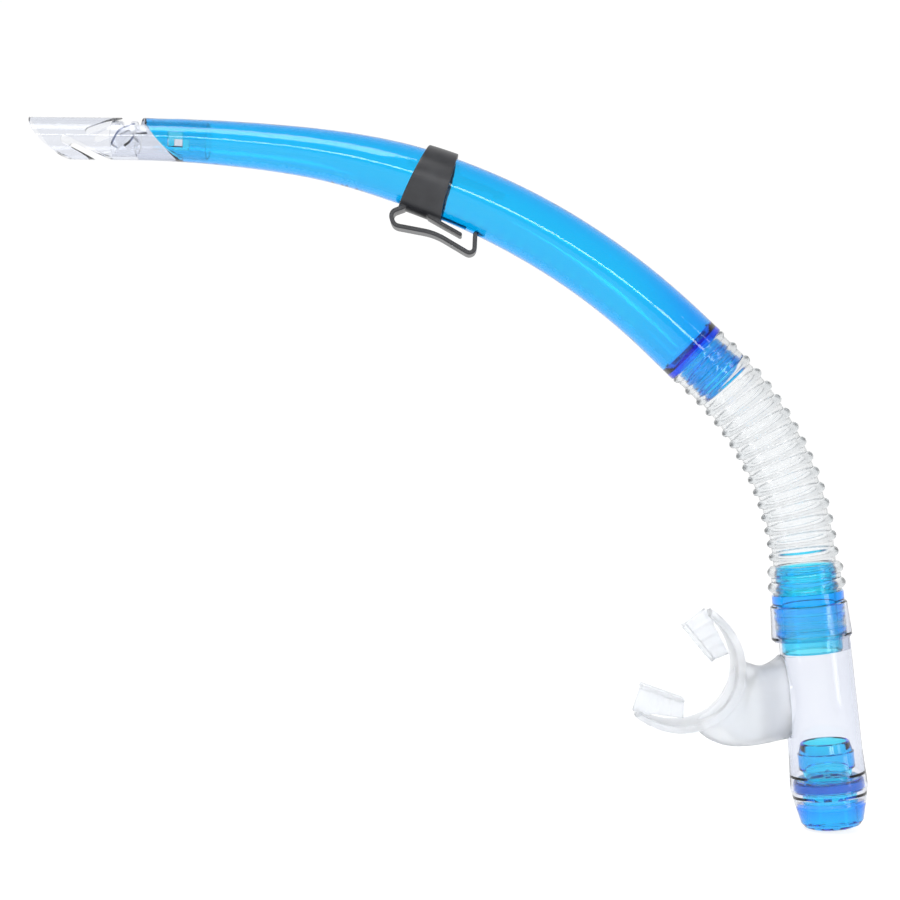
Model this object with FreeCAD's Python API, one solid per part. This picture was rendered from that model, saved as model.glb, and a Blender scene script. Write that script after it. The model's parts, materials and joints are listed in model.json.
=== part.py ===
import FreeCAD, Part
import math
import os

# Semi-dry snorkel, in millimetres. The tube lies in the XZ plane, +X towards the mouth end, +Z up, and is
# mirror-symmetric about that plane. The origin is the centre of the keeper's slot for the mask strap.
# Places along the tube are lengths along its centreline, counted from the open tip.

# Centreline: the heading is measured downwards from +X, and each run is (length, bend radius or None).
START_HEADING = 0.59
BARREL_BEND_RADIUS = 306.1
HOSE_BEND_RADIUS = 140.0
RUNS = (
    (45.5, None),
    (76.5, 651.0),
    (194.1, BARREL_BEND_RADIUS),
    (26.6, None),
    (99.3, HOSE_BEND_RADIUS),
    (140.0, None),
)

# Barrel, as (station, height in the bend's plane, depth across it). It is round from the middle down.
BARREL_SECTIONS = (
    (0.0, 19.1, 22.0),
    (30.0, 19.1, 22.0),
    (62.0, 19.3, 22.1),
    (90.0, 20.3, 22.7),
    (115.0, 21.6, 23.6),
    (135.0, 23.2, 24.8),
    (152.0, 25.1, 26.2),
    (170.0, 27.1, 27.7),
    (190.0, 28.4, 28.7),
    (230.0, 29.6, 29.7),
    (275.0, 30.2, 30.2),
    (333.0, 31.4, 31.4),
)
LOFT_STEP = 9.0
BARREL_WALL = 1.5
BARREL_END = 333.0
FUNNEL_LENGTH = 6.0
FUNNEL_THROAT = 2.5

# Spigots that the hose's cuffs grip, on the barrel and on the lower connector. Each has two crests.
SPIGOT_LENGTH = 17.5
SPIGOT_ROOT_D = 24.2
SPIGOT_D = 25.24
SPIGOT_BORE = 21.6
SPIGOT_LEAD = 0.4
CREST_RAMP = 0.6
BARREL_CRESTS = ((5.8, 8.9), (13.4, 16.4))
CONNECTOR_CRESTS = ((2.6, 4.6), (7.6, 9.6))

# Splash guard: its section is the barrel's, and the joint with the barrel slants across the tube.
GUARD_WALL = 1.4
GUARD_LENGTH = 74.0
GUARD_BORE_END = 50.0
SLEEVE_OVERLAP = 6.0
SLEEVE_END = 82.0
SLEEVE_WALL = 1.2
SLEEVE_GAP = 0.05
TIP_CUT = ((0.0, 9.8), (6.2, -1.4), (20.3, -9.9))
JOINT_CUT = ((53.2, 9.2), (59.2, -0.8), (70.6, -10.4))
JOINT_GAP = 0.15
DRAIN_SLOT_WIDTH = 3.4
DRAIN_SLOT_LOW = ((17.8, -1.9), (38.0, -11.5))
DRAIN_SLOT_HIGH = ((29.2, 1.9), (46.5, 9.6))
TOP_NOTCH = ((44.2, 5.9), (45.7, 4.9), (52.6, 4.9), (52.6, 14.0), (44.2, 14.0))
LATCH_STATION = 68.4
LATCH_LENGTH = 6.6
LATCH_HEIGHT = 6.2
LATCH_OFFSET = -1.0
LATCH_GAP = 0.15
LUG_INSET = 0.15
LUG_ROOT_INSET = 3.0
DEFLECTOR_RING = (38.4, 49.4)
DEFLECTOR_WALL = 0.9
DEFLECTOR_WINDOW = ((42.4, 3.0), (47.4, 3.0), (47.4, 14.0), (42.4, 14.0))
VANE_THICKNESS = 0.9
VANE_END_GAP = 0.3
VANE_BEND = 7.0
VANES = (
    ((38.9, -3.3), (42.6, 2.8), (48.6, 5.6)),
    ((44.9, -3.8), (48.6, -2.0), (50.2, 3.4)),
)

# Strap keeper, in the frame of its own station on the barrel.
KEEPER_STATION = 186.0
KEEPER_GAP = 0.25
KEEPER_WALL = 2.0
KEEPER_RING = ((-5.4, 18.0), (8.0, 18.0), (9.2, 4.0), (9.6, -8.0), (10.9, -18.0), (-10.2, -18.0), (-7.8, 0.0))
KEEPER_WIDTH = 14.0
HOOK_THICKNESS = 2.0
HOOK_POINTS = ((-7.4, -15.4), (-12.6, -19.6), (-8.8, -24.6), (10.0, -21.8), (30.6, -26.0), (27.6, -16.2))
HOOK_RADII = (3.0, 3.6, 30.0, 2.4)
TONGUE_POINTS = ((5.0, -15.6), (21.2, -18.5))
TONGUE_THICKNESS = 1.6
SLOT_CENTRE = (10.3, -19.6)

# Flexible hose.
HOSE_BORE = 25.4
HOSE_VALLEY_D = 28.4
HOSE_RIDGE_D = 31.9
HOSE_RIDGES = 13
FIRST_RIDGE = 357.4
RIDGE_PITCH = 6.86
RIDGE_ROUNDING = 1.9
HOSE_START = BARREL_END + 0.3
HOSE_END = 457.3
CUFF_D = 29.6
UPPER_CUFF_LENGTH = 18.0
UPPER_CUFF_LIP = (2.6, 31.6)
UPPER_CUFF_RIBS = ((342.4, 32.0), (350.2, 32.0))
LOWER_CUFF_RIBS = ((446.9, 34.6), (453.9, 35.4))
LOWER_RIB_ROUNDING = 2.4
LOWER_CUFF_D = 31.8
LOWER_CUFF_BORE = 28.8
LOWER_SOCKET_GAP = 0.5
LOWER_CUFF_START = 444.2

# Lower connector, on the hose's lower axis.
CONNECTOR_TOP = 445.0
CONNECTOR_ROOT_D = 27.4
CONNECTOR_CREST_D = 28.6
CONNECTOR_BORE = 24.0
CONNECTOR_LEAD = 1.0
COLLAR_START = HOSE_END + 0.3
COLLAR_END = 461.9
COLLAR_D = 32.8
PLUG_END = 484.8
PLUG_D = 30.2
PLUG_RIB_D = 32.4
PLUG_RIBS = (464.5, 468.2, 475.0)
PLUG_RIB_LENGTH = 2.4
PLUG_NOSE_START = 476.4
PLUG_NOSE_D = 28.0
PLUG_BORE_LOW = 25.2
PLUG_CHAMFER = (1.0, 0.6)
SEAL_STATION = 471.8
SEAL_THICKNESS = 1.9
SEAL_INNER_GAP = 0.02
SEAL_OUTER_GAP = 0.05

# Chamber: the tube's axis is a little to the right of the neck's.
NECK_TOP = 462.2
NECK_END = 478.6
NECK_TOP_D = 35.0
NECK_LOW_D = 36.8
NECK_BORE = 32.6
NECK_FLOOR = 476.8
NOSE_BORE = 28.4
NOSE_BORE_END = 485.4
NECK_TOP_EDGE = 0.6
NECK_LOW_EDGE = (1.0, 0.8)
TUBE_OFFSET = 1.0
TUBE_TOP_D = 32.4
TUBE_LOW_STATION = 531.0
TUBE_LOW_D = 33.6
FOOT_STATION = 547.0
FOOT_D = 35.4
CHAMBER_END = 554.6
RIM_D = 32.4
TUBE_BORE_TOP = 29.0
TUBE_BORE_LOW = 30.2
SEAL_GROOVE = (540.6, 541.6, 549.6, 551.2)
SEAL_GROOVE_D = 32.6
TUBE_ROOT = 2.0
BORE_STEP_OVERLAP = 1.0

# Mouthpiece port on the chamber: an oval stub, drooping a little from square to the chamber's axis.
PORT_STATION = 503.5
PORT_TILT = 6.0
PORT_ROOT = 8.0
PORT_REACH = 27.0
PORT_LENGTH_OUT = 31.5
PORT_DEPTH_OUT = 19.6
PORT_WALL = 1.6

# Mouthpiece, in a frame at the middle of the chord between the flange's lobes. That point lies above the
# port's station and to the left of the chamber's axis, and the mouth direction tilts up from square to it.
MOUTH_ABOVE_PORT = 20.2
MOUTH_LEFT_OF_AXIS = 65.8
MOUTH_TILT = 40.9
NECK_WALL = 2.8
# The neck's oval sections: distance left of the chamber's axis, height above the port's station, tilt, then
# the oval's length in the bend's plane and its depth across it.
NECK_SECTIONS = (
    (15.6, 0.0, 0.0, 39.6, 26.6),
    (24.2, -2.7, 5.0, 36.6, 25.6),
    (32.5, -3.2, 17.0, 38.0, 25.0),
    (45.8, 3.1, 40.9, 38.0, 25.0),
)
MOUTH_OPENING = (28.0, 14.0)
MOUTH_OPENING_DEPTH = 23.0
SOFT_GAP = 0.1
FLANGE_HALF_WIDTH = 30.4
FLANGE_DEPTH = 32.4
FLANGE_THICKNESS = 3.6
FLANGE_HEIGHT = 27.0
FLANGE_CORNER = 10.0
TAB_OUTLINE = ((2.5, 29.0), (-18.6, 18.2), (-13.6, 10.4), (6.4, 16.0))
TAB_THICKNESS = 5.0
TAB_LIP_THICKNESS = 2.0
TAB_LIP_HEIGHT = 12.0

# Purge unit, on the chamber tube's axis.
CUP_TOP = 526.2
CUP_RIM_D = 22.4
CUP_BAND_START = 530.6
CUP_BAND_END = 538.8
CUP_BAND_D = 25.6
CUP_TUBE_D = 22.4
CUP_EDGE = 0.5
CUP_BORE = 19.8
CUP_FLOOR = 543.2
CUP_FLOOR_THICKNESS = 1.8
CUP_FLANGE = (543.2, 548.4)
CUP_FLANGE_D = 29.9
CUP_SKIRT_END = 552.0
CUP_SKIRT_D = 21.8
CUP_SPOKES = 4
SPOKE_WIDTH = 2.4
SEAT_D = 16.4
HUB_D = 6.4
STEM_HOLE_D = 2.8
CUP_SEAL_DEPTH = 2.0
CUP_SEAL_LENGTH = 3.4
CUP_SEAL_EDGE = 0.3
VALVE_D = 19.0
VALVE_THICKNESS = 0.9
VALVE_TRAVEL = 1.5
VALVE_GAP = 0.03
STEM_D = 2.2
STEM_BULB_D = 4.0
STEM_BULB_LENGTH = 2.0
CAP_SPIGOT_D = 24.4
CAP_BORE = 22.0
CAP_TOP = 549.4
CAP_LOCATOR_D = 30.0
CAP_LOCATOR_LENGTH = 1.6
CAP_TOP_D = 31.8
CAP_BOTTOM_D = 27.2
CAP_END = 565.4
CAP_FLOOR = 2.0
CAP_EDGE_ROUNDING = 2.6
VENT_COUNT = 6
VENT_D = 4.6
VENT_CIRCLE_D = 15.0

# Cuts run this far past the body they cut, along it and right across it.
CLEAR = 2.0
ACROSS = 60.0
TIP_OVERSHOOT = 8.0

AXIS_X = FreeCAD.Vector(1, 0, 0)
AXIS_Y = FreeCAD.Vector(0, 1, 0)
AXIS_Z = FreeCAD.Vector(0, 0, 1)
ORIGIN = FreeCAD.Vector(0, 0, 0)


def along(heading):
    """Unit vector along the tube where it is heading this many degrees below +X."""
    angle = math.radians(heading)
    return FreeCAD.Vector(math.cos(angle), 0, -math.sin(angle))


def outward(heading):
    """Unit vector square to the tube, in the bend's plane, on the outside of the bend."""
    angle = math.radians(heading)
    return FreeCAD.Vector(math.sin(angle), 0, math.cos(angle))


def unplaced_station(length):
    """Point and heading on the centreline, with the tip at the origin."""
    point = ORIGIN
    heading = START_HEADING
    if length < 0:
        point = along(heading) * length
    for run, radius in RUNS:
        step = max(min(run, length), 0.0)
        if radius is None:
            point = point + along(heading) * step
        else:
            centre = point - outward(heading) * radius
            heading = heading + math.degrees(step / radius)
            point = centre + outward(heading) * radius
        length = length - step
        if length <= 0:
            break
    return point, heading


def turned_to(point, heading):
    """Frame with local x along the tube, y across the bend's plane and z outwards."""
    return FreeCAD.Placement(point, FreeCAD.Rotation(AXIS_Y, heading))


KEEPER_POINT, KEEPER_HEADING = unplaced_station(KEEPER_STATION)
SLOT_POINT = KEEPER_POINT + along(KEEPER_HEADING) * SLOT_CENTRE[0] + outward(KEEPER_HEADING) * SLOT_CENTRE[1]


def station(length):
    """Frame on the centreline at this length from the tip."""
    point, heading = unplaced_station(length)
    return turned_to(point - SLOT_POINT, heading)


def lower_axis(length, offset=0.0):
    """Frame on the straight axis of the hose's lower end, the connector and the chamber."""
    frame = station(length)
    return frame.multiply(FreeCAD.Placement(FreeCAD.Vector(0, 0, offset), FreeCAD.Rotation()))


def placed(shape, frame):
    """Copy of a shape moved into a frame."""
    copy = shape.copy()
    copy.Placement = frame.multiply(copy.Placement)
    return copy


def polygon(points):
    """Face in the local XZ plane through (x, z) points."""
    corners = [FreeCAD.Vector(x, 0, z) for x, z in points]
    return Part.Face(Part.makePolygon(corners + corners[:1]))


def turned(points):
    """Solid turned about local x from an outline of (x, radius) points."""
    return polygon(points).revolve(ORIGIN, AXIS_X, 360)


def outline_from(start, points):
    """Outline with its stations counted from a starting station."""
    return [(x - start, r) for x, r in points]


def cylinder(start, end, diameter, y=0.0, z=0.0):
    """Round bar along local x."""
    return Part.makeCylinder(diameter / 2, end - start, FreeCAD.Vector(start, y, z), AXIS_X)


def slab(points, width):
    """Outline of (x, z) points, pulled out symmetrically to a width in y."""
    return polygon(points).translated(FreeCAD.Vector(0, -width / 2, 0)).extrude(AXIS_Y * width)


def side_of(direction):
    """Unit vector square to a direction in the XZ plane."""
    return FreeCAD.Vector(-direction.z, 0, direction.x)


def bent_line(points, radii):
    """Straight runs and rounded corners through (x, z) points, each as (point, side vector) pairs."""
    line = [FreeCAD.Vector(x, 0, z) for x, z in points]
    ways = [(b - a).normalize() for a, b in zip(line, line[1:])]
    pieces = []
    last = line[0]
    for corner, before, after, radius in zip(line[1:], ways, ways[1:], radii):
        half_turn = before.getAngle(after) / 2
        reach = radius * math.tan(half_turn)
        start = corner - before * reach
        end = corner + after * reach
        inwards = (after - before).normalize()
        peak = corner + inwards * (radius / math.cos(half_turn) - radius)
        middle = side_of((before + after).normalize())
        pieces.append([(last, side_of(before)), (start, side_of(before))])
        pieces.append([(start, side_of(before)), (peak, middle), (end, side_of(after))])
        last = end
    pieces.append([(last, side_of(ways[-1])), (line[-1], side_of(ways[-1]))])
    return pieces, ways[0], ways[-1]


def strip_face(points, radii, thickness):
    """Face of an even, round-ended strip along a bent line."""
    pieces, first_way, last_way = bent_line(points, radii)
    edges = []
    for shift in (-thickness / 2, thickness / 2):
        for piece in pieces:
            moved = [point + side * shift for point, side in piece]
            edges.append(Part.Arc(*moved).toShape() if len(moved) == 3 else Part.makeLine(*moved))
    for (point, side), way in ((pieces[0][0], -first_way), (pieces[-1][-1], last_way)):
        side = side * (thickness / 2)
        edges.append(Part.Arc(point - side, point + way * (thickness / 2), point + side).toShape())
    return Part.Face(Part.Wire(Part.__sortEdges__(edges)))


def strip(points, radii, thickness, width):
    """Bent flat strip, pulled out symmetrically to a width in y."""
    face = strip_face(points, radii, thickness)
    return face.translated(FreeCAD.Vector(0, -width / 2, 0)).extrude(AXIS_Y * width)


def arc_face(arc, far_corners):
    """Face in the XZ plane between an arc through three points and the straight lines round it."""
    points = [FreeCAD.Vector(x, 0, z) for x, z in arc]
    corners = [FreeCAD.Vector(x, 0, z) for x, z in far_corners]
    edges = [Part.Arc(*points).toShape()]
    line = [points[-1]] + corners + [points[0]]
    edges += [Part.makeLine(a, b) for a, b in zip(line, line[1:])]
    return Part.Face(Part.Wire(edges))


def oval(length, depth):
    """Closed ellipse wire in the local YZ plane: depth across the bend's plane, length in it."""
    if depth >= length:
        shape = Part.Ellipse(ORIGIN, depth / 2, length / 2).toShape()
        turn = FreeCAD.Rotation(AXIS_Y, AXIS_Z, AXIS_X)
    else:
        shape = Part.Ellipse(ORIGIN, length / 2, depth / 2).toShape()
        turn = FreeCAD.Rotation(AXIS_Z, FreeCAD.Vector(0, -1, 0), AXIS_X)
    wire = Part.Wire(shape)
    wire.Placement = FreeCAD.Placement(ORIGIN, turn)
    return wire


def slope_at(index, column):
    """Slope of one column of the barrel's sections at one of them."""
    before = BARREL_SECTIONS[max(index - 1, 0)]
    after = BARREL_SECTIONS[min(index + 1, len(BARREL_SECTIONS) - 1)]
    return (after[column] - before[column]) / (after[0] - before[0])


def barrel_size(length):
    """Height and depth of the barrel's outside at a station, on a smooth curve through its sections."""
    length = min(max(length, 0.0), BARREL_END)
    index = max(n for n, section in enumerate(BARREL_SECTIONS[:-1]) if section[0] <= length)
    first = BARREL_SECTIONS[index]
    second = BARREL_SECTIONS[index + 1]
    span = second[0] - first[0]
    t = (length - first[0]) / span
    sizes = []
    for column in (1, 2):
        start_slope = slope_at(index, column) * span
        end_slope = slope_at(index + 1, column) * span
        value = first[column] * (2 * t**3 - 3 * t**2 + 1) + second[column] * (3 * t**2 - 2 * t**3)
        value += start_slope * (t**3 - 2 * t**2 + t) + end_slope * (t**3 - t**2)
        sizes.append(value)
    return sizes


def tube_body(start, end, inset):
    """Solid that fills the barrel's outside, less an inset, between two stations."""
    count = max(2, math.ceil((end - start) / LOFT_STEP))
    wires = []
    for n in range(count + 1):
        stop = start + (end - start) * n / count
        height, depth = barrel_size(stop)
        wires.append(placed(oval(height - 2 * inset, depth - 2 * inset), station(stop)))
    return Part.makeLoft(wires, True, False)


def tip_frame():
    """Frame of the open tip, in which the guard's cuts are laid out."""
    return station(0.0)


def across_tube(face):
    """The tip's outlines, pulled out right across the tube."""
    return placed(face.translated(AXIS_Y * (-ACROSS / 2)).extrude(AXIS_Y * ACROSS), tip_frame())


def joint_side(shift):
    """Everything on the tip's side of the slanted joint, moved along the tube by a shift."""
    arc = [(x + shift, z) for x, z in JOINT_CUT]
    low_x, low_z = arc[-1]
    high_x, high_z = arc[0]
    corners = ((low_x + 8, low_z - 6), (-20, -30), (-20, 30), (high_x - 3, high_z + 6))
    return across_tube(arc_face(arc, corners))


def drain_slot(start, end):
    """Round-ended slot right across the tube, from its closed end out past the wall."""
    beyond = (start[0] + 1.5 * (end[0] - start[0]), start[1] + 1.5 * (end[1] - start[1]))
    return across_tube(strip_face((start, beyond), (), DRAIN_SLOT_WIDTH))


def latch(margin, depth):
    """Square latch block through both sides of the tube's wall."""
    block = Part.makeBox(
        LATCH_LENGTH + 2 * margin,
        depth,
        LATCH_HEIGHT + 2 * margin,
        FreeCAD.Vector(-LATCH_LENGTH / 2 - margin, -depth / 2, LATCH_OFFSET - LATCH_HEIGHT / 2 - margin),
    )
    return placed(block, station(LATCH_STATION))


def make_splash_guard():
    outside = tube_body(-TIP_OVERSHOOT / 2, GUARD_LENGTH, 0.0).common(joint_side(-JOINT_GAP))
    sleeve_inset = BARREL_WALL + SLEEVE_GAP
    sleeve = tube_body(GUARD_BORE_END - SLEEVE_OVERLAP, SLEEVE_END, sleeve_inset)
    before = LATCH_STATION - LATCH_LENGTH * 2
    after = LATCH_STATION + LATCH_LENGTH * 2
    lug = latch(0.0, ACROSS).common(tube_body(before, after, LUG_INSET))
    lug = lug.cut(tube_body(before - CLEAR, after + CLEAR, LUG_ROOT_INSET))
    guard = outside.fuse(sleeve).fuse(lug)
    guard = guard.cut(tube_body(-TIP_OVERSHOOT, GUARD_BORE_END, GUARD_WALL))
    guard = guard.cut(
        tube_body(GUARD_BORE_END - SLEEVE_OVERLAP / 2, SLEEVE_END + CLEAR, sleeve_inset + SLEEVE_WALL)
    )
    low_x, low_z = TIP_CUT[-1]
    mouth = arc_face(TIP_CUT, ((low_x + 6, low_z - 6), (-30, -16), (-30, 16), (-3, 16)))
    guard = guard.cut(across_tube(mouth))
    guard = guard.cut(drain_slot(*DRAIN_SLOT_LOW))
    guard = guard.cut(drain_slot(*DRAIN_SLOT_HIGH))
    return guard.cut(across_tube(polygon(TOP_NOTCH)))


def vane(points):
    """Curved blade right across the guard's bore."""
    return across_tube(strip_face(points, (VANE_BEND,), VANE_THICKNESS))


def make_splash_deflector():
    start, end = DEFLECTOR_RING
    inset = GUARD_WALL + SLEEVE_GAP
    ring = tube_body(start, end, inset).cut(tube_body(start - CLEAR, end + CLEAR, inset + DEFLECTOR_WALL))
    ring = ring.cut(across_tube(polygon(DEFLECTOR_WINDOW)))
    room = tube_body(start + VANE_END_GAP, end - VANE_END_GAP, inset + DEFLECTOR_WALL / 2)
    for points in VANES:
        ring = ring.fuse(vane(points).common(room))
    return ring


def crested(crests, root, crest):
    """Outline points of a spigot's crests, each from where its ramp starts to where it ends."""
    points = []
    for first, last in crests:
        points += [(first - CREST_RAMP, root), (first, crest), (last, crest), (last + CREST_RAMP, root)]
    return points


def make_barrel():
    body = tube_body(GUARD_BORE_END - CLEAR, BARREL_END, 0.0).cut(joint_side(0.0))
    root = SPIGOT_ROOT_D / 2
    outline = [(-FUNNEL_LENGTH, 0.0), (-FUNNEL_LENGTH, root)]
    outline += crested(BARREL_CRESTS, root, SPIGOT_D / 2)
    outline += [(SPIGOT_LENGTH, root - SPIGOT_LEAD), (SPIGOT_LENGTH, 0.0)]
    barrel = body.fuse(placed(turned(outline), station(BARREL_END)))
    barrel = barrel.cut(tube_body(GUARD_BORE_END - 2 * CLEAR, BARREL_END - FUNNEL_LENGTH, BARREL_WALL))
    wide = BARREL_SECTIONS[-1][1] / 2 - BARREL_WALL
    throat = SPIGOT_BORE / 2
    past = SPIGOT_LENGTH + CLEAR
    funnel = (
        (-FUNNEL_LENGTH - 1.0, 0.0),
        (-FUNNEL_LENGTH - 1.0, wide),
        (-FUNNEL_LENGTH, wide),
        (-FUNNEL_THROAT, throat),
        (past, throat),
        (past, 0.0),
    )
    barrel = barrel.cut(placed(turned(funnel), station(BARREL_END)))
    return barrel.cut(latch(LATCH_GAP, ACROSS))


def make_strap_keeper():
    frame = station(KEEPER_STATION)
    ring = tube_body(KEEPER_STATION - 16, KEEPER_STATION + 16, -KEEPER_GAP - KEEPER_WALL)
    ring = ring.common(placed(slab(KEEPER_RING, 50.0), frame))
    hook = placed(strip(HOOK_POINTS, HOOK_RADII, HOOK_THICKNESS, KEEPER_WIDTH), frame)
    tongue = placed(strip(TONGUE_POINTS, (), TONGUE_THICKNESS, KEEPER_WIDTH), frame)
    keeper = ring.fuse(hook).fuse(tongue)
    return keeper.cut(tube_body(KEEPER_STATION - 34, KEEPER_STATION + 40, -KEEPER_GAP))


def hose_path():
    """Wire along the hose's centreline: straight, bent, straight."""
    bend_start = sum(run for run, _ in RUNS[:4])
    bend_end = bend_start + RUNS[4][0]
    bend_middle = (bend_start + bend_end) / 2
    stops = [station(s).Base for s in (HOSE_START, bend_start, bend_middle, bend_end, HOSE_END)]
    arc = Part.Arc(stops[1], stops[2], stops[3]).toShape()
    return Part.Wire([Part.makeLine(stops[0], stops[1]), arc, Part.makeLine(stops[3], stops[4])])


def hose_tube(diameter):
    """Round bar along the hose's centreline."""
    start = station(HOSE_START).Base
    circle = Part.makeCircle(diameter / 2, start, along(station_heading(HOSE_START)))
    return hose_path().makePipeShell([Part.Wire(circle)], True, False)


def station_heading(length):
    """Heading of the centreline at a station, in degrees below +X."""
    return unplaced_station(length)[1]


def ridge(length, diameter, rounding):
    """Round ridge about the hose at a station."""
    shape = Part.makeTorus(diameter / 2 - rounding, rounding, ORIGIN, AXIS_X)
    return placed(shape, station(length))


def make_flex_hose():
    pieces = [ridge(FIRST_RIDGE + RIDGE_PITCH * n, HOSE_RIDGE_D, RIDGE_ROUNDING) for n in range(HOSE_RIDGES)]
    pieces += [ridge(s, d, RIDGE_ROUNDING) for s, d in UPPER_CUFF_RIBS]
    pieces += [ridge(s, d, LOWER_RIB_ROUNDING) for s, d in LOWER_CUFF_RIBS]
    pieces.append(placed(cylinder(0.0, *UPPER_CUFF_LIP), station(HOSE_START)))
    pieces.append(placed(cylinder(0.0, UPPER_CUFF_LENGTH, CUFF_D), station(HOSE_START)))
    cuff_length = HOSE_END - LOWER_CUFF_START
    pieces.append(placed(cylinder(0.0, cuff_length, LOWER_CUFF_D), station(LOWER_CUFF_START)))
    hose = hose_tube(HOSE_VALLEY_D).multiFuse(pieces)
    spigot_room = cylinder(-CLEAR, SPIGOT_LENGTH, HOSE_BORE)
    hose = hose.cut(hose_tube(HOSE_BORE)).cut(placed(spigot_room, station(HOSE_START)))
    socket = cylinder(LOWER_SOCKET_GAP, cuff_length + CLEAR, LOWER_CUFF_BORE)
    return hose.cut(placed(socket, station(LOWER_CUFF_START)))


def plug_rib(middle):
    """Outline points of one square rib on the connector's plug."""
    low = PLUG_D / 2
    high = PLUG_RIB_D / 2
    start = middle - PLUG_RIB_LENGTH / 2
    end = middle + PLUG_RIB_LENGTH / 2
    return [(start, low), (start, high), (end, high), (end, low)]


def make_lower_connector():
    collar_start = COLLAR_START - CONNECTOR_TOP
    collar_end = COLLAR_END - CONNECTOR_TOP
    end = PLUG_END - CONNECTOR_TOP
    root = CONNECTOR_ROOT_D / 2
    plug = PLUG_D / 2
    nose_start = PLUG_NOSE_START - CONNECTOR_TOP
    nose = PLUG_NOSE_D / 2
    chamfer_length, chamfer_depth = PLUG_CHAMFER
    outline = [(0.0, CONNECTOR_BORE / 2), (0.0, root - SPIGOT_LEAD), (CONNECTOR_LEAD, root)]
    outline += crested(CONNECTOR_CRESTS, root, CONNECTOR_CREST_D / 2)
    outline += [(collar_start, root), (collar_start, COLLAR_D / 2)]
    outline += [(collar_end, COLLAR_D / 2), (collar_end, plug)]
    for rib in PLUG_RIBS:
        outline += plug_rib(rib - CONNECTOR_TOP)
    outline += [(nose_start, plug), (nose_start, nose), (end - chamfer_length, nose)]
    outline += [(end, nose - chamfer_depth), (end, PLUG_BORE_LOW / 2), (collar_end, CONNECTOR_BORE / 2)]
    return placed(turned(outline), lower_axis(CONNECTOR_TOP))


def make_connector_seal():
    half = SEAL_THICKNESS / 2
    inside = PLUG_D / 2 + SEAL_INNER_GAP
    outside = NECK_BORE / 2 - SEAL_OUTER_GAP
    ring = turned(((-half, inside), (-half, outside), (half, outside), (half, inside)))
    return placed(ring, lower_axis(SEAL_STATION))


def chamber_axis(length):
    """Frame on the chamber tube's own axis."""
    return lower_axis(length, TUBE_OFFSET)


def chamber_outside():
    """The chamber's tube and neck with no bore."""
    start = NECK_END - TUBE_ROOT
    tube = turned(
        outline_from(
            start,
            (
                (start, 0.0),
                (start, TUBE_TOP_D / 2),
                (TUBE_LOW_STATION, TUBE_LOW_D / 2),
                (FOOT_STATION, FOOT_D / 2),
                (CHAMBER_END, RIM_D / 2),
                (CHAMBER_END, 0.0),
            ),
        )
    )
    low_length, low_depth = NECK_LOW_EDGE
    neck = turned(
        outline_from(
            NECK_TOP,
            (
                (NECK_TOP, 0.0),
                (NECK_TOP, NECK_TOP_D / 2 - NECK_TOP_EDGE),
                (NECK_TOP + NECK_TOP_EDGE, NECK_TOP_D / 2),
                (NECK_END - low_length, NECK_LOW_D / 2),
                (NECK_END, NECK_LOW_D / 2 - low_depth),
                (NECK_END, 0.0),
            ),
        )
    )
    return placed(tube, chamber_axis(start)).fuse(placed(neck, lower_axis(NECK_TOP)))


def port_bar(start, end, inset):
    """Oval bar along the port's direction, from and to these distances from the chamber's axis."""
    droop = FreeCAD.Placement(ORIGIN, FreeCAD.Rotation(AXIS_Y, 90 - PORT_TILT))
    frame = chamber_axis(PORT_STATION).multiply(droop)
    wires = []
    for reach in (start, end):
        wire = oval(PORT_LENGTH_OUT - 2 * inset, PORT_DEPTH_OUT - 2 * inset)
        wires.append(placed(placed(wire, FreeCAD.Placement(AXIS_X * reach, FreeCAD.Rotation())), frame))
    return Part.makeLoft(wires, True, True)


def make_chamber():
    chamber = chamber_outside().fuse(port_bar(PORT_ROOT, PORT_REACH, 0.0))
    neck_bore = cylinder(-CLEAR, NECK_FLOOR - NECK_TOP, NECK_BORE)
    nose_bore = cylinder(0.0, NOSE_BORE_END - NECK_TOP, NOSE_BORE)
    start = NOSE_BORE_END - BORE_STEP_OVERLAP
    past = CHAMBER_END + CLEAR
    groove_start, groove_floor, groove_floor_end, groove_end = SEAL_GROOVE
    tube_bore = turned(
        outline_from(
            start,
            (
                (start, 0.0),
                (start, TUBE_BORE_TOP / 2),
                (groove_start, TUBE_BORE_LOW / 2),
                (groove_floor, SEAL_GROOVE_D / 2),
                (groove_floor_end, SEAL_GROOVE_D / 2),
                (groove_end, TUBE_BORE_LOW / 2),
                (past, TUBE_BORE_LOW / 2),
                (past, 0.0),
            ),
        )
    )
    chamber = chamber.cut(placed(neck_bore, lower_axis(NECK_TOP)))
    chamber = chamber.cut(placed(nose_bore, lower_axis(NECK_TOP)))
    chamber = chamber.cut(placed(tube_bore, chamber_axis(start)))
    return chamber.cut(port_bar(0.0, PORT_REACH + CLEAR, PORT_WALL))


def mouth_frame():
    """Frame with local x towards the mouth, y along the chord between the lobes and z across."""
    base = chamber_axis(PORT_STATION)
    point = base.multVec(FreeCAD.Vector(-MOUTH_ABOVE_PORT, 0, -MOUTH_LEFT_OF_AXIS))
    left = base.Rotation.multVec(FreeCAD.Vector(0, 0, -1))
    up = base.Rotation.multVec(FreeCAD.Vector(-1, 0, 0))
    angle = math.radians(MOUTH_TILT)
    towards = left * math.cos(angle) + up * math.sin(angle)
    chord = up * math.cos(angle) - left * math.sin(angle)
    return FreeCAD.Placement(point, FreeCAD.Rotation(towards, chord, AXIS_Y))


def flat_outline(points):
    """Face in the mouth frame's XY plane through (x, y) points."""
    corners = [FreeCAD.Vector(x, y, 0) for x, y in points]
    return Part.Face(Part.makePolygon(corners + corners[:1]))


def thick(face, height):
    """Face pulled out symmetrically in local z."""
    return face.translated(AXIS_Z * (-height / 2)).extrude(AXIS_Z * height)


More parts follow.
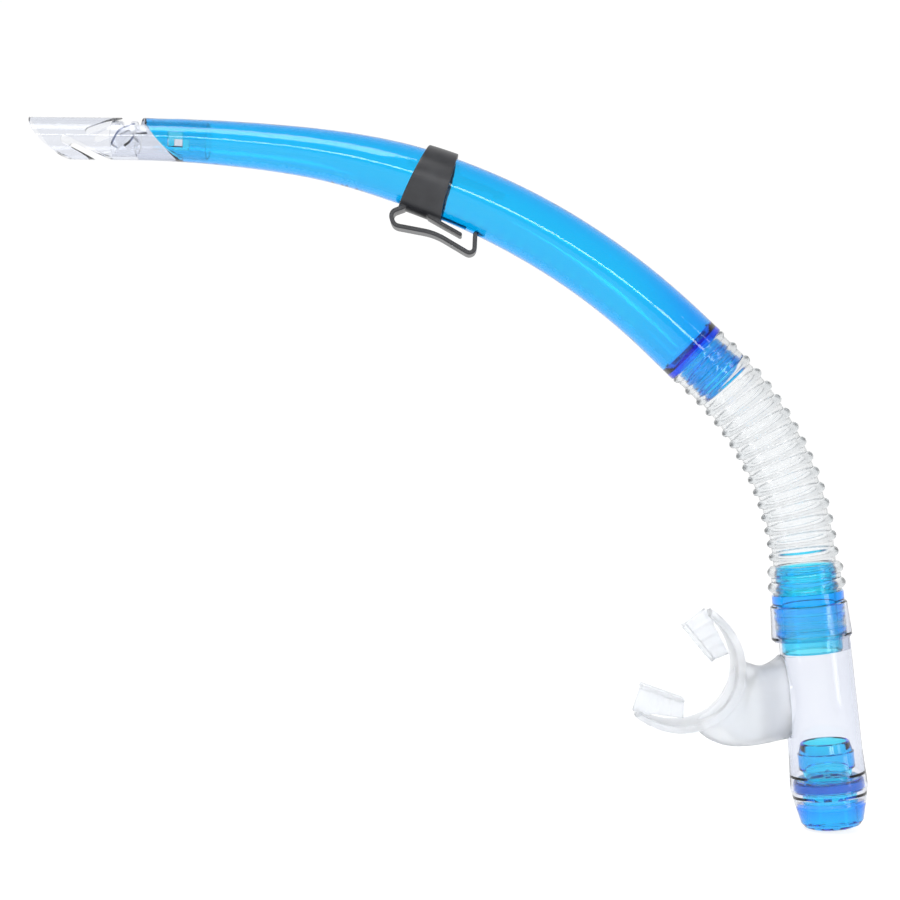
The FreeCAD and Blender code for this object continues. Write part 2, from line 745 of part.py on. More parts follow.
def arch(half_width, depth, height):
    """Elliptical bar about the chord's middle, deeper towards the chamber than it is half wide."""
    ellipse = Part.Ellipse(FreeCAD.Vector(depth, 0, 0), FreeCAD.Vector(0, half_width, 0), ORIGIN)
    face = Part.Face(Part.Wire(ellipse.toShape()))
    return thick(face, height)


def flange():
    """Curved lip shield, with rounded corners."""
    shell = arch(FLANGE_HALF_WIDTH, FLANGE_DEPTH, FLANGE_HEIGHT)
    inner_width = FLANGE_HALF_WIDTH - FLANGE_THICKNESS
    shell = shell.cut(arch(inner_width, FLANGE_DEPTH - FLANGE_THICKNESS, FLANGE_HEIGHT + CLEAR))
    corner = FreeCAD.Vector(-ACROSS, -FLANGE_HALF_WIDTH, -FLANGE_HEIGHT / 2)
    window = Part.makeBox(ACROSS, 2 * FLANGE_HALF_WIDTH, FLANGE_HEIGHT, corner)
    corners = [edge for edge in window.Edges if abs(edge.tangentAt(edge.FirstParameter).x) > 0.99]
    return shell.common(window.makeFillet(FLANGE_CORNER, corners))


def bite_tab(side):
    """Bite tab with its end lip, on the upper (1) or lower (-1) lobe."""
    outline = [(x, side * y) for x, y in TAB_OUTLINE]
    tab = thick(flat_outline(outline), TAB_THICKNESS)
    (x0, y0), (x1, y1) = outline[2:]
    edge = FreeCAD.Vector(x1 - x0, y1 - y0, 0).normalize()
    inward = FreeCAD.Vector(-edge.y, edge.x, 0) * side * TAB_LIP_THICKNESS
    lip = flat_outline(((x0, y0), (x1, y1), (x1 + inward.x, y1 + inward.y), (x0 + inward.x, y0 + inward.y)))
    return tab.fuse(thick(lip, TAB_LIP_HEIGHT))


def neck_oval(left, up, tilt, length, depth):
    """One oval section of the mouthpiece's neck."""
    local = FreeCAD.Placement(FreeCAD.Vector(-up, 0, -left), FreeCAD.Rotation(AXIS_Y, 90 + tilt))
    return placed(oval(length, depth), chamber_axis(PORT_STATION).multiply(local))


def mouth_section(behind, length, depth):
    """Section square to the mouth direction, this far behind the chord between the lobes."""
    angle = math.radians(MOUTH_TILT)
    left = MOUTH_LEFT_OF_AXIS - behind * math.cos(angle)
    up = MOUTH_ABOVE_PORT - behind * math.sin(angle)
    return neck_oval(left, up, MOUTH_TILT, length, depth)


def make_mouthpiece():
    outer = Part.makeLoft([neck_oval(*section) for section in NECK_SECTIONS], True, False)
    inner_sections = [
        neck_oval(left, up, tilt, length - 2 * NECK_WALL, depth - 2 * NECK_WALL)
        for left, up, tilt, length, depth in NECK_SECTIONS[:-1]
    ]
    inner_sections.append(mouth_section(FLANGE_DEPTH - 1.0, *MOUTH_OPENING))
    inner_sections.append(mouth_section(MOUTH_OPENING_DEPTH, *MOUTH_OPENING))
    inner = Part.makeLoft(inner_sections, True, False)
    inner_width = FLANGE_HALF_WIDTH - FLANGE_THICKNESS
    face_side = placed(arch(inner_width, FLANGE_DEPTH - FLANGE_THICKNESS, ACROSS), mouth_frame())
    mouth = flange().fuse(bite_tab(1)).fuse(bite_tab(-1))
    piece = outer.cut(face_side).fuse(placed(mouth, mouth_frame()))
    piece = piece.cut(inner).cut(port_bar(0.0, PORT_REACH + SOFT_GAP, -SOFT_GAP))
    length = CHAMBER_END - NECK_END
    round_room = placed(cylinder(0.0, length, TUBE_TOP_D + 4 * SOFT_GAP), chamber_axis(NECK_END))
    return piece.cut(round_room).cut(chamber_outside())


def make_purge_cup():
    flange_start, flange_end = CUP_FLANGE
    middle = (flange_start + flange_end) / 2
    groove = CUP_FLANGE_D / 2 - CUP_SEAL_DEPTH
    half_groove = CUP_SEAL_LENGTH / 2 + 0.05
    bore = CUP_BORE / 2
    floor_end = CUP_FLOOR + CUP_FLOOR_THICKNESS
    cup = turned(
        outline_from(
            CUP_TOP,
            (
                (CUP_TOP, bore + CUP_EDGE),
                (CUP_TOP, CUP_RIM_D / 2 - CUP_EDGE),
                (CUP_TOP + CUP_EDGE, CUP_RIM_D / 2),
                (CUP_BAND_START, CUP_BAND_D / 2 - CUP_EDGE),
                (CUP_BAND_START + CUP_EDGE, CUP_BAND_D / 2),
                (CUP_BAND_END - CUP_EDGE, CUP_BAND_D / 2),
                (CUP_BAND_END, CUP_BAND_D / 2 - CUP_EDGE),
                (CUP_BAND_END, CUP_TUBE_D / 2),
                (flange_start, CUP_TUBE_D / 2),
                (flange_start, CUP_FLANGE_D / 2),
                (middle - half_groove, CUP_FLANGE_D / 2),
                (middle - half_groove, groove),
                (middle + half_groove, groove),
                (middle + half_groove, CUP_FLANGE_D / 2),
                (flange_end, CUP_FLANGE_D / 2),
                (flange_end, CUP_SKIRT_D / 2),
                (CUP_SKIRT_END, CUP_SKIRT_D / 2),
                (CUP_SKIRT_END, bore),
                (floor_end, bore),
                (floor_end, STEM_HOLE_D / 2),
                (CUP_FLOOR, STEM_HOLE_D / 2),
                (CUP_FLOOR, bore),
                (CUP_TOP + CUP_EDGE, bore),
            ),
        )
    )
    floor = CUP_FLOOR - CUP_TOP
    ring = cylinder(floor - 1, floor + CUP_FLOOR_THICKNESS + 1, SEAT_D)
    windows = ring.cut(cylinder(floor - 2, floor + CUP_FLOOR_THICKNESS + 2, HUB_D))
    for n in range(CUP_SPOKES):
        corner = FreeCAD.Vector(floor - CLEAR, -SPOKE_WIDTH / 2, 0)
        spoke = Part.makeBox(CUP_FLOOR_THICKNESS + 2 * CLEAR, SPOKE_WIDTH, SEAT_D, corner)
        windows = windows.cut(spoke.rotated(ORIGIN, AXIS_X, n * 360 / CUP_SPOKES))
    return placed(cup.cut(windows), chamber_axis(CUP_TOP))


def make_cup_seal():
    middle = (CUP_FLANGE[0] + CUP_FLANGE[1]) / 2
    half = CUP_SEAL_LENGTH / 2
    inside = CUP_FLANGE_D / 2 - CUP_SEAL_DEPTH + SEAL_INNER_GAP
    outside = SEAL_GROOVE_D / 2 - SEAL_OUTER_GAP
    edge = CUP_SEAL_EDGE
    ring = turned(
        (
            (-half, inside),
            (-half, outside - edge),
            (edge - half, outside),
            (half - edge, outside),
            (half, outside - edge),
            (half, inside),
        )
    )
    return placed(ring, chamber_axis(middle))


def make_purge_valve():
    floor_end = CUP_FLOOR + CUP_FLOOR_THICKNESS
    disc_top = floor_end + VALVE_GAP
    bulb_low = CUP_FLOOR - VALVE_TRAVEL - 0.2
    valve = turned(
        outline_from(
            disc_top,
            (
                (bulb_low - STEM_BULB_LENGTH, 0.0),
                (bulb_low - STEM_BULB_LENGTH, STEM_D / 4),
                (bulb_low - 0.4, STEM_BULB_D / 2),
                (bulb_low, STEM_BULB_D / 2),
                (bulb_low, STEM_D / 2),
                (disc_top, STEM_D / 2),
                (disc_top, VALVE_D / 2),
                (disc_top + VALVE_THICKNESS * 0.6, VALVE_D / 2),
                (disc_top + VALVE_THICKNESS, VALVE_D / 4),
                (disc_top + VALVE_THICKNESS, 0.0),
            ),
        )
    )
    return placed(valve, chamber_axis(disc_top))


def make_purge_cap():
    flange = CHAMBER_END + 0.05
    bottom = CAP_BOTTOM_D / 2
    cap = turned(
        outline_from(
            CAP_TOP,
            (
                (CAP_TOP, CAP_BORE / 2),
                (CAP_TOP, CAP_SPIGOT_D / 2),
                (flange - CAP_LOCATOR_LENGTH, CAP_SPIGOT_D / 2),
                (flange - CAP_LOCATOR_LENGTH, CAP_LOCATOR_D / 2),
                (flange, CAP_LOCATOR_D / 2),
                (flange, CAP_TOP_D / 2),
                (flange + 1.0, CAP_TOP_D / 2),
                (CAP_END - CAP_EDGE_ROUNDING, bottom + 0.6),
                (CAP_END - CAP_EDGE_ROUNDING * 0.3, bottom - CAP_EDGE_ROUNDING * 0.3),
                (CAP_END, bottom - CAP_EDGE_ROUNDING),
                (CAP_END, 0.0),
                (CAP_END - CAP_FLOOR, 0.0),
                (CAP_END - CAP_FLOOR, CAP_BORE / 2),
            ),
        )
    )
    depth = CAP_END - CAP_TOP
    for n in range(VENT_COUNT):
        angle = math.radians(n * 360 / VENT_COUNT)
        y = VENT_CIRCLE_D / 2 * math.cos(angle)
        z = VENT_CIRCLE_D / 2 * math.sin(angle)
        cap = cap.cut(cylinder(depth - CAP_FLOOR - 1, depth + 1, VENT_D, y, z))
    return placed(cap, chamber_axis(CAP_TOP))


def main():
    os.makedirs("parts", exist_ok=True)
    nodes = {
        "splash_guard": make_splash_guard(),
        "splash_deflector": make_splash_deflector(),
        "barrel": make_barrel(),
        "strap_keeper": make_strap_keeper(),
        "flex_hose": make_flex_hose(),
        "lower_connector": make_lower_connector(),
        "connector_seal": make_connector_seal(),
        "chamber": make_chamber(),
        "mouthpiece": make_mouthpiece(),
        "purge_cup": make_purge_cup(),
        "cup_seal": make_cup_seal(),
        "purge_valve": make_purge_valve(),
        "purge_cap": make_purge_cap(),
    }
    for name, shape in nodes.items():
        shape.exportStep(f"parts/{name}.step")
        print(name, shape.ShapeType, len(shape.Solids), shape.isValid(), round(shape.Volume), shape.BoundBox)


main()
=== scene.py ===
import json
import math

import bmesh
import bpy
from mathutils import Matrix, Vector


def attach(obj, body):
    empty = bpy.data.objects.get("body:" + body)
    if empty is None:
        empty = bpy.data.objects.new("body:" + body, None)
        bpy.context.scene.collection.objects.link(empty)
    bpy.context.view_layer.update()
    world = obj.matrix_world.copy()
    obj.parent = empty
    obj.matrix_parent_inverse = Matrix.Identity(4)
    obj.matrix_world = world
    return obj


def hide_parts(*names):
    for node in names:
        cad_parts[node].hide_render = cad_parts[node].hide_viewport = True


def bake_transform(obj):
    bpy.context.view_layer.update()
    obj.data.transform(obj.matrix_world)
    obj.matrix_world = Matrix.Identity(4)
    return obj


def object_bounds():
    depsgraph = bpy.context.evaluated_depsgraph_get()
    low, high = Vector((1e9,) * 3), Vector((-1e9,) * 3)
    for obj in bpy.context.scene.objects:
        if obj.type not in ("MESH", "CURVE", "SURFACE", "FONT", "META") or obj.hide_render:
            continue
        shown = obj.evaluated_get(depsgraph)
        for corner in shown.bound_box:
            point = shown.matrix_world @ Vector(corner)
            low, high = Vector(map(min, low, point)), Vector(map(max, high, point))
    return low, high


# Looks of the snorkel: the hose, the mouthpiece and the strap keeper are rebuilt as finer meshes, the other
# pieces keep their CAD shapes, and every piece gets a node material.

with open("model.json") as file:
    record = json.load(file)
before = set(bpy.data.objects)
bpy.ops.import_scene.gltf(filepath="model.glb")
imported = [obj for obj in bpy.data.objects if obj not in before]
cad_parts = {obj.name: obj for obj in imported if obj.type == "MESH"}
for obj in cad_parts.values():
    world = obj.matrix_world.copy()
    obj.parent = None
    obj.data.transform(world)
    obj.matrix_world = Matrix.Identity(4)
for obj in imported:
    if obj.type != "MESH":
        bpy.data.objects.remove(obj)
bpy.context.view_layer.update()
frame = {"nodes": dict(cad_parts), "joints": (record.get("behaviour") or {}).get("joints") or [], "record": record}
nodes = frame["nodes"]
joints = {joint["name"]: joint for joint in frame["joints"]}

MM = 0.001

# The photograph's camera, in the row frame.
CAMERA_AT = (0.00593, -0.828, -0.10114)
CAMERA_LENS = 72.0

# Hose: lengths along its centreline, in millimetres from its upper end, and radii.
HOSE_GAP_ABOVE = 0.3
HOSE_GAP_BELOW = 4.9
HOSE_BEND_RADIUS = 140.0
HOSE_BORE = 12.7
SOCKET_BORE = 14.4
SOCKET_LENGTH = 12.6
HOSE_VALLEY = 14.2
UPPER_CUFF = (18.0, 14.8)
LOWER_CUFF = (13.1, 15.9)
RIDGES = 13
FIRST_RIDGE = 24.1
RIDGE_PITCH = 6.86
RIDGE_RADIUS = 15.95
RIDGE_ROUNDING = 2.0
UPPER_RIBS = ((1.3, 15.8), (9.1, 16.0), (16.9, 16.0))
UPPER_RIB_ROUNDING = 1.9
LOWER_RIBS = ((10.4, 17.3), (3.4, 17.7))
LOWER_RIB_ROUNDING = 2.4
HOSE_EDGE = 0.6
HOSE_STEP = 0.3
HOSE_SIDES = 96

# Bite tabs, in the mouth's own directions from the middle of the flange: the edge with the lip and the
# root, each as two points (towards the mouth, along the chord), in millimetres.
TAB_LIP = ((-12.6, 12.2), (5.6, 17.6))
TAB_ROOT = ((-17.6, 18.4), (2.0, 28.0))
TAB_HALF_THICKNESS = 2.4
TAB_RIDGE_RADIUS = 0.8
TAB_RIDGES = (0.24, 0.5, 0.76)

# Reflections of the clear pieces, as the shader's specular level.
CLEAR_SPECULAR = 0.3
PLASTIC_IOR = 1.36
BLUE_IOR = 1.49
SILICONE_IOR = 1.24
MILKY_IOR = 1.3

# How the clear plastics tint light that passes through them: colours, and densities per metre.
BARREL_BLUE = (0.0, 0.885, 0.99)
INNER_BLUE = (0.0, 0.93, 1.0)
CAP_BLUE = (0.0, 0.92, 1.0)
PLASTIC_GREY = (0.3, 0.38, 0.58)
SILICONE_GREY = (0.4, 0.46, 0.5)
BARREL_DENSITY = 1900.0
INNER_DENSITY = 1350.0
CAP_DENSITY = 1300.0
PLASTIC_DENSITY = 110.0
SILICONE_DENSITY = 45.0

# The barrel's blue gets deeper between these x, in metres, towards its lower end.
DEEPER_FROM = 0.085
DEEPER_TO = 0.125
DEEPER_TINT = (0.5, 0.86, 1.0)

# Remeshing of the rounded pieces: voxel in millimetres and rounds of smoothing.
KEEPER_ROUNDING = (0.3, 5)
MOUTH_ROUNDING = (0.5, 4)

# Lights: name, place, width and height, power and the point each looks at.
LIGHTS = (
    ("top_softbox", (-0.3, -0.5, 0.9), (0.9, 0.5), 7.0, (0.0, 0.0, -0.1)),
    ("front_strip", (-0.05, -1.0, 0.2), (1.4, 0.09), 3.2, (0.0, 0.0, 0.04)),
    ("side_softbox", (0.9, -0.6, 0.1), (0.25, 1.0), 3.0, (0.1, 0.0, -0.1)),
)
MAX_BOUNCES = 32


# ---------------------------------------------------------------- materials


def new_material(name):
    material = bpy.data.materials.new(name)
    material.use_nodes = True
    tree = material.node_tree
    shader = tree.nodes["Principled BSDF"]
    return material, tree, shader


def noise(tree, scale, detail=3.0):
    """A noise texture in object space, where one unit is a metre."""
    place = tree.nodes.new("ShaderNodeTexCoord")
    texture = tree.nodes.new("ShaderNodeTexNoise")
    texture.inputs["Scale"].default_value = scale
    texture.inputs["Detail"].default_value = detail
    tree.links.new(place.outputs["Object"], texture.inputs["Vector"])
    return texture


def ramp(tree, source, stops):
    """A colour ramp from a value, through (position, colour) stops."""
    node = tree.nodes.new("ShaderNodeValToRGB")
    while len(node.color_ramp.elements) < len(stops):
        node.color_ramp.elements.new(0.5)
    for element, (position, colour) in zip(node.color_ramp.elements, stops):
        element.position = position
        element.color = (*colour, 1.0)
    tree.links.new(source, node.inputs["Fac"])
    return node.outputs["Color"]


def spread(tree, source, low, high):
    """A value from 0 to 1 spread between two others."""
    node = tree.nodes.new("ShaderNodeMapRange")
    node.inputs["To Min"].default_value = low
    node.inputs["To Max"].default_value = high
    tree.links.new(source, node.inputs["Value"])
    return node.outputs["Result"]


def bump(tree, shader, source, strength, distance):
    node = tree.nodes.new("ShaderNodeBump")
    node.inputs["Strength"].default_value = strength
    node.inputs["Distance"].default_value = distance
    tree.links.new(source, node.inputs["Height"])
    tree.links.new(node.outputs["Normal"], shader.inputs["Normal"])


def absorb(tree, colour, density):
    volume = tree.nodes.new("ShaderNodeVolumeAbsorption")
    volume.inputs["Color"].default_value = (*colour, 1.0)
    volume.inputs["Density"].default_value = density
    output = tree.nodes["Material Output"]
    tree.links.new(volume.outputs["Volume"], output.inputs["Volume"])


def clear(name, tint, ior, rough, colour, density, ripple=0.02, ripple_scale=60.0):
    """Transparent moulded plastic or silicone that tints light by its depth."""
    material, tree, shader = new_material(name)
    shader.inputs["Transmission Weight"].default_value = 1.0
    shader.inputs["IOR"].default_value = ior
    shader.inputs["Specular IOR Level"].default_value = CLEAR_SPECULAR
    flow = noise(tree, ripple_scale, 2.0)
    haze = noise(tree, 900.0, 4.0)
    tone = ramp(tree, flow.outputs["Fac"], ((0.25, tint[0]), (0.75, tint[1])))
    tree.links.new(tone, shader.inputs["Base Color"])
    tree.links.new(spread(tree, haze.outputs["Fac"], rough[0], rough[1]), shader.inputs["Roughness"])
    bump(tree, shader, flow.outputs["Fac"], ripple, 0.0004)
    absorb(tree, colour, density)
    return material


def deepen(tree, shader, start, end, colour):
    """Tints a base colour more and more from one x to another in object space."""
    place = tree.nodes.new("ShaderNodeTexCoord")
    split = tree.nodes.new("ShaderNodeSeparateXYZ")
    tree.links.new(place.outputs["Object"], split.inputs["Vector"])
    span = tree.nodes.new("ShaderNodeMapRange")
    span.interpolation_type = "SMOOTHSTEP"
    span.inputs["From Min"].default_value = start
    span.inputs["From Max"].default_value = end
    tree.links.new(split.outputs["X"], span.inputs["Value"])
    mix = tree.nodes.new("ShaderNodeMixRGB")
    mix.blend_type = "MULTIPLY"
    before = shader.inputs["Base Color"].links[0].from_socket
    tree.links.new(span.outputs["Result"], mix.inputs["Fac"])
    tree.links.new(before, mix.inputs["Color1"])
    mix.inputs["Color2"].default_value = (*colour, 1.0)
    tree.links.new(mix.outputs["Color"], shader.inputs["Base Color"])


def blue_plastic(name, density, colour):
    return clear(
        name,
        ((0.93, 0.985, 1.0), (1.0, 1.0, 1.0)),
        BLUE_IOR,
        (0.0, 0.05),
        colour,
        density,
    )


def satin_black():
    material, tree, shader = new_material("satin_black")
    grain = noise(tree, 2600.0, 3.0)
    wear = noise(tree, 90.0, 5.0)
    tone = ramp(tree, wear.outputs["Fac"], ((0.3, (0.012, 0.013, 0.016)), (0.75, (0.03, 0.031, 0.036))))
    tree.links.new(tone, shader.inputs["Base Color"])
    tree.links.new(spread(tree, wear.outputs["Fac"], 0.28, 0.46), shader.inputs["Roughness"])
    bump(tree, shader, grain.outputs["Fac"], 0.12, 0.00005)
    return material


def milky_silicone():
    material, tree, shader = new_material("milky_silicone")
    cloud = noise(tree, 45.0, 3.0)
    grain = noise(tree, 1400.0, 3.0)
    tone = ramp(tree, cloud.outputs["Fac"], ((0.3, (0.86, 0.885, 0.925)), (0.75, (0.93, 0.945, 0.97))))
    tree.links.new(tone, shader.inputs["Base Color"])
    tree.links.new(spread(tree, cloud.outputs["Fac"], 0.28, 0.42), shader.inputs["Roughness"])
    shader.inputs["IOR"].default_value = MILKY_IOR
    shader.inputs["Transmission Weight"].default_value = 0.74
    shader.inputs["Subsurface Weight"].default_value = 0.6
    shader.inputs["Subsurface Radius"].default_value = (1.0, 1.0, 1.0)
    shader.inputs["Subsurface Scale"].default_value = 0.006
    bump(tree, shader, grain.outputs["Fac"], 0.08, 0.00005)
    return material


def dark_blue_seal():
    material, tree, shader = new_material("dark_blue_seal")
    cloud = noise(tree, 120.0, 3.0)
    tone = ramp(tree, cloud.outputs["Fac"], ((0.3, (0.0, 0.16, 0.85)), (0.75, (0.0, 0.22, 1.0))))
    tree.links.new(tone, shader.inputs["Base Color"])
    tree.links.new(spread(tree, cloud.outputs["Fac"], 0.3, 0.45), shader.inputs["Roughness"])
    shader.inputs["Subsurface Weight"].default_value = 0.2
    shader.inputs["Subsurface Scale"].default_value = 0.002
    return material


# ---------------------------------------------------------------- meshes


def dress(node_object, material):
    node_object.data.materials.clear()
    node_object.data.materials.append(material)


def new_object(name, mesh, material):
    piece = bpy.data.objects.new(name, mesh)
    bpy.context.scene.collection.objects.link(piece)
    piece.data.materials.clear()
    piece.data.materials.append(material)
    return piece


def apply_modifiers(piece):
    depsgraph = bpy.context.evaluated_depsgraph_get()
    mesh = bpy.data.meshes.new_from_object(piece.evaluated_get(depsgraph))
    piece.modifiers.clear()
    piece.data = mesh


def tab_ridges(mesh):
    """Adds the cross ridges on both faces of each bite tab, as closed bars sunk into it."""
    mount = next(entry for entry in frame["record"]["mounts"] if entry["name"] == "mouth_flange")
    middle = Vector(mount["pos_m"])
    towards = Vector(mount["axis"]).normalized()
    across = Vector((0, 1, 0))
    chord = across.cross(towards)
    bars = bmesh.new()
    bars.from_mesh(mesh)
    for side in (1, -1):
        for share in TAB_RIDGES:
            ends = []
            for (x0, y0), (x1, y1) in (TAB_LIP, TAB_ROOT):
                x = x0 + (x1 - x0) * share
                y = y0 + (y1 - y0) * share
                ends.append(middle + (towards * x + chord * side * y) * MM)
            way = ends[1] - ends[0]
            for face in (1, -1):
                place = Matrix.Translation((ends[0] + ends[1]) / 2 + across * face * TAB_HALF_THICKNESS * MM)
                turn = way.to_track_quat("Z", "Y").to_matrix().to_4x4()
                bmesh.ops.create_cone(
                    bars,
                    cap_ends=True,
                    segments=16,
                    radius1=TAB_RIDGE_RADIUS * MM,
                    radius2=TAB_RIDGE_RADIUS * MM,
                    depth=way.length,
                    matrix=place @ turn,
                )
    bars.to_mesh(mesh)
    bars.free()


def softened(name, node, material, voxel, rounds, extra=None):
    """A copy of a CAD node with its edges rounded: remeshed evenly, then smoothed."""
    piece = new_object(name, nodes[node].data.copy(), material)
    if extra is not None:
        extra(piece.data)
    remesh = piece.modifiers.new("remesh", "REMESH")
    remesh.mode = "VOXEL"
    remesh.voxel_size = voxel * MM
    remesh.use_smooth_shade = True
    smooth = piece.modifiers.new("smooth", "SMOOTH")
    smooth.factor = 0.5
    smooth.iterations = rounds
    apply_modifiers(piece)
    piece.data.materials.clear()
    piece.data.materials.append(material)
    for polygon in piece.data.polygons:
        polygon.use_smooth = True
    return piece


def hose_route():
    """Points of the hose's centreline: its upper end, where the bend starts and ends, and its lower end."""
    upper = Vector(joints["hose_swivel"]["pos_m"])
    lower = Vector(joints["mouth_swivel"]["pos_m"])
    first_way = Vector(joints["hose_swivel"]["axis"]).normalized()
    last_way = Vector(joints["mouth_swivel"]["axis"]).normalized()
    turn = first_way.angle(last_way)
    reach = HOSE_BEND_RADIUS * MM * math.tan(turn / 2)
    # The corner where the two straight runs would meet.
    gap = lower - upper
    cross = first_way.x * last_way.z - first_way.z * last_way.x
    run = (gap.x * last_way.z - gap.z * last_way.x) / cross
    corner = upper + first_way * run
    start = upper + first_way * HOSE_GAP_ABOVE * MM
    end = lower - last_way * HOSE_GAP_BELOW * MM
    return start, corner, end, first_way, last_way, turn, reach


def hose_stations():
    """The hose's length in millimetres and a function from a length to its point and heading."""
    start, corner, end, first_way, last_way, turn, reach = hose_route()
    bend_start = corner - first_way * reach
    bend_end = corner + last_way * reach
    straight_above = (bend_start - start).length
    radius = HOSE_BEND_RADIUS * MM
    arc = radius * turn
    straight_below = (end - bend_end).length
    inward = (last_way - first_way * last_way.dot(first_way)).normalized()
    centre = bend_start + inward * radius
    total = straight_above + arc + straight_below

    def at(length):
        length = length * MM
        if length <= straight_above:
            return start + first_way * length, first_way
        if length <= straight_above + arc:
            angle = (length - straight_above) / radius
            point = centre - inward * radius * math.cos(angle) + first_way * radius * math.sin(angle)
            return point, (first_way * math.cos(angle) + inward * math.sin(angle)).normalized()
        return bend_end + last_way * (length - straight_above - arc), last_way

    return total / MM, at, bend_end


def bulge(distance, radius, rounding):
    """Radius of a round ridge at a distance along the hose from its crest."""
    if abs(distance) >= rounding:
        return 0.0
    return radius - rounding + math.sqrt(rounding**2 - distance**2)


def hose_outside(length, total):
    """Outer radius of the hose at a length from its upper end, in millimetres."""
    base = HOSE_VALLEY
    if length < UPPER_CUFF[0]:
        base = UPPER_CUFF[1]
    if length > total - LOWER_CUFF[0]:
        base = LOWER_CUFF[1]
    crests = [FIRST_RIDGE + RIDGE_PITCH * n for n in range(RIDGES)]
    bulges = [bulge(length - crest, RIDGE_RADIUS, RIDGE_ROUNDING) for crest in crests]
    bulges += [bulge(length - place, radius, UPPER_RIB_ROUNDING) for place, radius in UPPER_RIBS]
    bulges += [bulge(total - place - length, radius, LOWER_RIB_ROUNDING) for place, radius in LOWER_RIBS]
    return max(base, *bulges)


def ring_of(mesh, centre, way, radius, sides):
    side = Vector((0, 1, 0))
    up = way.cross(side)
    corners = []
    for n in range(sides):
        angle = 2 * math.pi * n / sides
        corners.append(mesh.verts.new(centre + (side * math.cos(angle) + up * math.sin(angle)) * radius * MM))
    return corners


def make_hose(material):
    total, at, bend_end = hose_stations()
    mesh = bmesh.new()
    count = round(total / HOSE_STEP)
    rings = []
    for n in range(count + 1):
        length = total * n / count
        point, way = at(length)
        edge = min(length, total - length)
        rounding = HOSE_EDGE * max(0.0, 1.0 - edge / HOSE_EDGE) ** 2
        rings.append(ring_of(mesh, point, way, hose_outside(length, total) - rounding, HOSE_SIDES))
    for n in range(count, -1, -2):
        length = total * n / count
        point, way = at(length)
        bore = SOCKET_BORE if length > total - SOCKET_LENGTH else HOSE_BORE
        rings.append(ring_of(mesh, point, way, bore, HOSE_SIDES))
    rings.append(rings[0])
    for ring, following in zip(rings, rings[1:]):
        for n in range(HOSE_SIDES):
            m = (n + 1) % HOSE_SIDES
            mesh.faces.new((ring[n], ring[m], following[m], following[n]))
    bmesh.ops.recalc_face_normals(mesh, faces=mesh.faces)
    for face in mesh.faces:
        face.smooth = True
    data = bpy.data.meshes.new("hose_skin")
    mesh.to_mesh(data)
    mesh.free()
    hose = new_object("hose_skin", data, material)
    # The cuff sits on the barrel's spigot; the point at its lower end is worked out here and not used.
    tuple(at(UPPER_CUFF[0])[0])
    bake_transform(hose)
    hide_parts("flex_hose")


# ---------------------------------------------------------------- stage


def make_world():
    """Soft white surroundings, brightest behind the object and dimmer in front of it."""
    world = bpy.data.worlds.new("studio")
    bpy.context.scene.world = world
    world.use_nodes = True
    tree = world.node_tree
    background = tree.nodes["Background"]
    place = tree.nodes.new("ShaderNodeTexCoord")
    split = tree.nodes.new("ShaderNodeSeparateXYZ")
    tree.links.new(place.outputs["Generated"], split.inputs["Vector"])
    span = tree.nodes.new("ShaderNodeMapRange")
    span.interpolation_type = "SMOOTHSTEP"
    span.inputs["From Min"].default_value = -0.1
    span.inputs["From Max"].default_value = 0.75
    span.inputs["To Min"].default_value = 0.5
    span.inputs["To Max"].default_value = 1.02
    tree.links.new(split.outputs["Y"], span.inputs["Value"])
    tree.links.new(span.outputs["Result"], background.inputs["Strength"])
    background.inputs["Color"].default_value = (1.0, 1.0, 1.0, 1.0)


def make_floor():
    low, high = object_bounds()
    mesh = bmesh.new()
    bmesh.ops.create_grid(mesh, x_segments=1, y_segments=1, size=6.0)
    data = bpy.data.meshes.new("floor")
    mesh.to_mesh(data)
    mesh.free()
    material, tree, shader = new_material("pale_floor")
    speck = noise(tree, 40.0, 3.0)
    tone = ramp(tree, speck.outputs["Fac"], ((0.3, (0.3, 0.3, 0.303)), (0.7, (0.32, 0.32, 0.323))))
    tree.links.new(tone, shader.inputs["Base Color"])
    shader.inputs["Roughness"].default_value = 0.9
    shader.inputs["Emission Color"].default_value = (1.0, 1.0, 1.0, 1.0)
    shader.inputs["Emission Strength"].default_value = 0.84
    floor = new_object("floor", data, material)
    floor.location = ((low.x + high.x) / 2, 0.0, low.z - 0.0005)


def make_light(name, at, size, power, look_at):
    data = bpy.data.lights.new(name, "AREA")
    data.shape = "RECTANGLE"
    data.size, data.size_y = size
    data.energy = power
    light = bpy.data.objects.new(name, data)
    bpy.context.scene.collection.objects.link(light)
    light.location = at
    way = Vector(look_at) - Vector(at)
    light.rotation_mode = "QUATERNION"
    light.rotation_quaternion = way.to_track_quat("-Z", "Y")


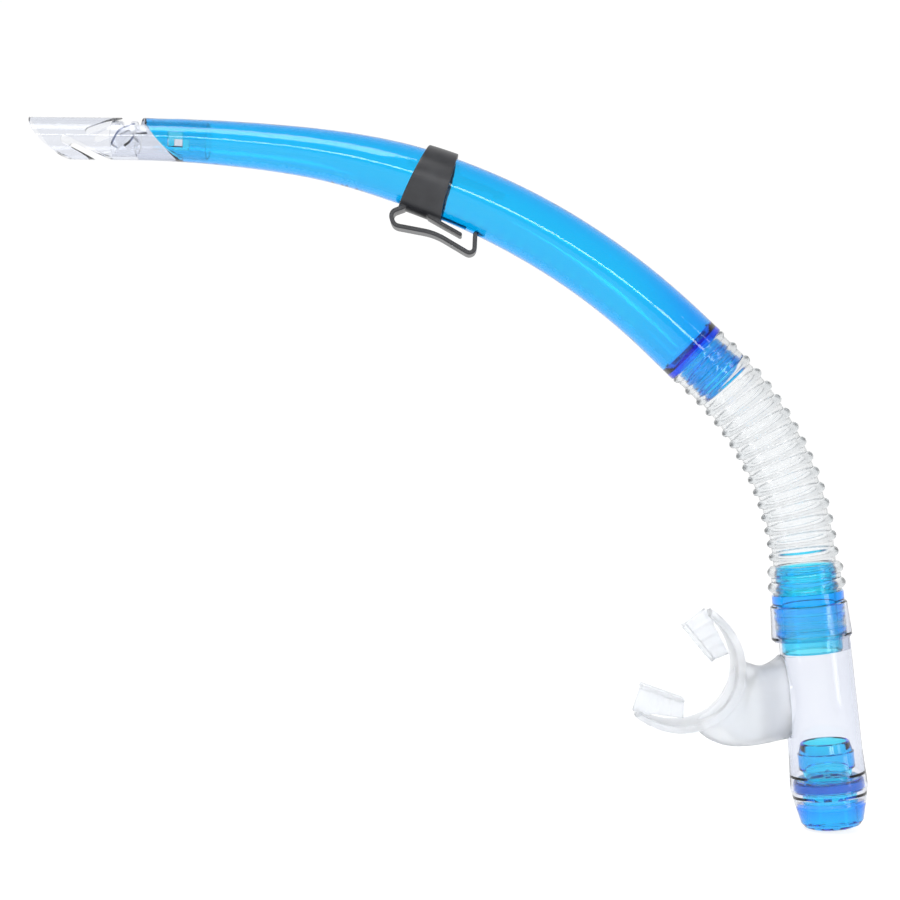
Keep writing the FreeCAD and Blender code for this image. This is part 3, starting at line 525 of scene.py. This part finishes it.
def make_camera():
    data = bpy.data.cameras.new("camera")
    data.lens = CAMERA_LENS
    data.sensor_width = 36.0
    data.clip_start = 0.05
    data.clip_end = 50.0
    camera = bpy.data.objects.new("camera", data)
    bpy.context.scene.collection.objects.link(camera)
    camera.location = CAMERA_AT
    camera.rotation_euler = (math.radians(90), 0, 0)
    bpy.context.scene.camera = camera


def main():
    scene = bpy.context.scene
    scene.view_settings.view_transform = "Standard"
    scene.cycles.max_bounces = MAX_BOUNCES
    scene.cycles.transmission_bounces = MAX_BOUNCES
    scene.cycles.transparent_max_bounces = MAX_BOUNCES

    blue = blue_plastic("blue_plastic", BARREL_DENSITY, BARREL_BLUE)
    tree = blue.node_tree
    deepen(tree, tree.nodes["Principled BSDF"], DEEPER_FROM, DEEPER_TO, DEEPER_TINT)
    inner_blue = blue_plastic("inner_blue_plastic", INNER_DENSITY, INNER_BLUE)
    cap_blue = blue_plastic("cap_blue_plastic", CAP_DENSITY, CAP_BLUE)
    clear_plastic = clear(
        "clear_plastic",
        ((0.985, 0.985, 0.99), (1.0, 1.0, 1.0)),
        PLASTIC_IOR,
        (0.0, 0.05),
        PLASTIC_GREY,
        PLASTIC_DENSITY,
    )
    clear_silicone = clear(
        "clear_silicone",
        ((0.97, 0.98, 0.985), (1.0, 1.0, 1.0)),
        SILICONE_IOR,
        (0.1, 0.22),
        SILICONE_GREY,
        SILICONE_DENSITY,
        ripple=0.05,
        ripple_scale=140.0,
    )
    milky = milky_silicone()

    for name in ("splash_guard", "splash_deflector", "chamber"):
        dress(nodes[name], clear_plastic)
    dress(nodes["barrel"], blue)
    for name in ("lower_connector", "purge_cup"):
        dress(nodes[name], inner_blue)
    dress(nodes["purge_cap"], cap_blue)
    for name in ("connector_seal", "purge_valve"):
        dress(nodes[name], clear_silicone)
    dress(nodes["cup_seal"], dark_blue_seal())

    make_hose(clear_silicone)

    keeper = softened("keeper_soft", "strap_keeper", satin_black(), *KEEPER_ROUNDING)
    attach(keeper, "keeper")
    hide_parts("strap_keeper")

    mouth = softened("mouthpiece_soft", "mouthpiece", milky, *MOUTH_ROUNDING, extra=tab_ridges)
    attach(mouth, "mouth_unit")
    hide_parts("mouthpiece")

    make_world()
    make_floor()
    for light in LIGHTS:
        make_light(*light)
    make_camera()


main()
